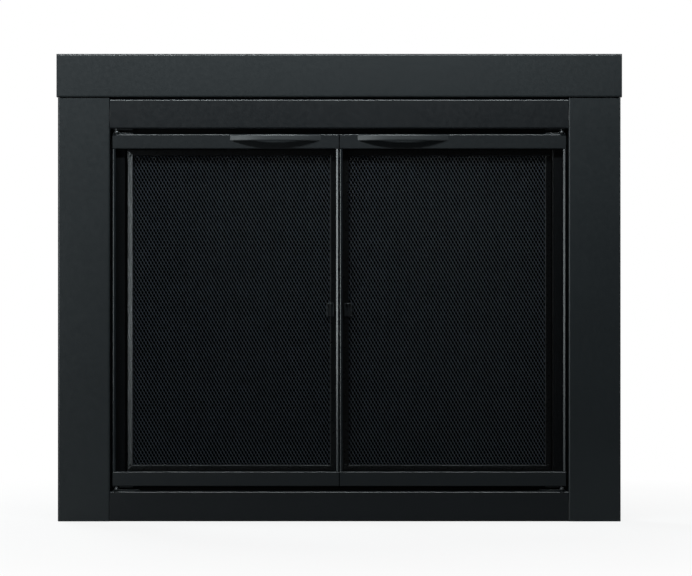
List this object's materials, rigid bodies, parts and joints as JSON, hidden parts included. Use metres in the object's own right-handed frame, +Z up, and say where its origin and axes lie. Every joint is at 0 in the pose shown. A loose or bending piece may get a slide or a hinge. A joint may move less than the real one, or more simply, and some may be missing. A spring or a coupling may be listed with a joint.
{
  "type": "fireplace glass door",
  "caption": "Black cabinet-style fireplace surround with a pair of hinged tempered-glass doors, bowed handles and framed woven-mesh doors behind them.",
  "frame": {"origin": "on the hearth, at the middle of the width and half-way through the depth of the side panels", "axes": "+X to the right seen from the room, -Y towards the room, +Z up"},
  "size_m": [0.9524, 0.096, 0.788],
  "materials": {
    "panel_powder_coat": "satin black powder coat",
    "door_powder_coat": "satin black powder coat",
    "frame_paint": "matt black paint",
    "mesh_frame_paint": "matt black paint",
    "woven_mesh": "black painted wire",
    "clear_glass": "clear tempered, polished",
    "gasket_tape": "black glass-fibre tape",
    "magnet_housing": "moulded, matt black",
    "zinc_steel": "zinc plated",
    "pivot_steel": "oiled turned steel"
  },
  "bodies": {
    "surround": {"header_panel": "panel_powder_coat", "left_side_panel": "panel_powder_coat", "right_side_panel": "panel_powder_coat", "inner_header": "panel_powder_coat", "bottom_panel": "panel_powder_coat", "header_tie_plate": "frame_paint", "frame_screws": "zinc_steel", "inner_frame_top": "frame_paint", "inner_frame_bottom": "frame_paint", "inner_frame_left": "frame_paint", "inner_frame_right": "frame_paint", "left_top_hinge_strap": "door_powder_coat", "left_bottom_hinge_strap": "door_powder_coat", "right_top_hinge_strap": "door_powder_coat", "right_bottom_hinge_strap": "door_powder_coat", "hinge_pins": "pivot_steel", "hinge_balls": "pivot_steel", "mesh_door_pins": "pivot_steel", "glass_door_magnets": "magnet_housing", "mesh_door_magnets": "magnet_housing", "left_hearth_bracket": "frame_paint", "right_hearth_bracket": "frame_paint", "left_lintel_bracket": "frame_paint", "right_lintel_bracket": "frame_paint"},
    "left_glass_door": {"left_glass": "clear_glass", "left_top_rail": "door_powder_coat", "left_bottom_rail": "door_powder_coat", "left_outer_stile": "door_powder_coat", "left_meeting_stile": "door_powder_coat", "left_handle": "door_powder_coat", "left_handle_screws": "zinc_steel", "left_glass_gasket": "gasket_tape", "left_hinge_leaves": "door_powder_coat"},
    "left_mesh_door": {"left_mesh": "woven_mesh", "left_mesh_top_rail": "mesh_frame_paint", "left_mesh_bottom_rail": "mesh_frame_paint", "left_mesh_outer_stile": "mesh_frame_paint", "left_mesh_meeting_stile": "mesh_frame_paint", "left_mesh_pull": "mesh_frame_paint", "left_mesh_rivets": "zinc_steel"},
    "left_lintel_jack": {"left_jack_screw": "zinc_steel", "left_jack_pad": "frame_paint"},
    "right_glass_door": {"right_glass": "clear_glass", "right_top_rail": "door_powder_coat", "right_bottom_rail": "door_powder_coat", "right_outer_stile": "door_powder_coat", "right_meeting_stile": "door_powder_coat", "right_handle": "door_powder_coat", "right_handle_screws": "zinc_steel", "right_glass_gasket": "gasket_tape", "right_hinge_leaves": "door_powder_coat"},
    "right_mesh_door": {"right_mesh": "woven_mesh", "right_mesh_top_rail": "mesh_frame_paint", "right_mesh_bottom_rail": "mesh_frame_paint", "right_mesh_outer_stile": "mesh_frame_paint", "right_mesh_meeting_stile": "mesh_frame_paint", "right_mesh_pull": "mesh_frame_paint", "right_mesh_rivets": "zinc_steel"},
    "right_lintel_jack": {"right_jack_screw": "zinc_steel", "right_jack_pad": "frame_paint"}
  },
  "joints": [
    {"name": "left_glass_door_swing", "type": "hinge", "parent": "surround", "child": "left_glass_door", "pos_m": [-0.3758, -0.013, 0.05], "axis": [0, 0, -1], "range_deg": [0, 110]},
    {"name": "right_glass_door_swing", "type": "hinge", "parent": "surround", "child": "right_glass_door", "pos_m": [0.3758, -0.013, 0.05], "axis": [0, 0, 1], "range_deg": [0, 110]},
    {"name": "left_mesh_door_swing", "type": "hinge", "parent": "surround", "child": "left_mesh_door", "pos_m": [-0.3558, 0.008, 0.08], "axis": [0, 0, -1], "range_deg": [0, 90]},
    {"name": "right_mesh_door_swing", "type": "hinge", "parent": "surround", "child": "right_mesh_door", "pos_m": [0.3558, 0.008, 0.08], "axis": [0, 0, 1], "range_deg": [0, 90]},
    {"name": "left_jack_lift", "type": "slide", "parent": "surround", "child": "left_lintel_jack", "axis": [0, 0, 1], "range_m": [0, 0.02]},
    {"name": "right_jack_lift", "type": "slide", "parent": "surround", "child": "right_lintel_jack", "axis": [0, 0, 1], "range_m": [0, 0.02]}
  ],
  "couplings": [
    {"joint": "left_mesh_door_swing", "follows": "left_glass_door_swing", "ratio": 0.8},
    {"joint": "right_mesh_door_swing", "follows": "right_glass_door_swing", "ratio": 0.8}
  ]
}
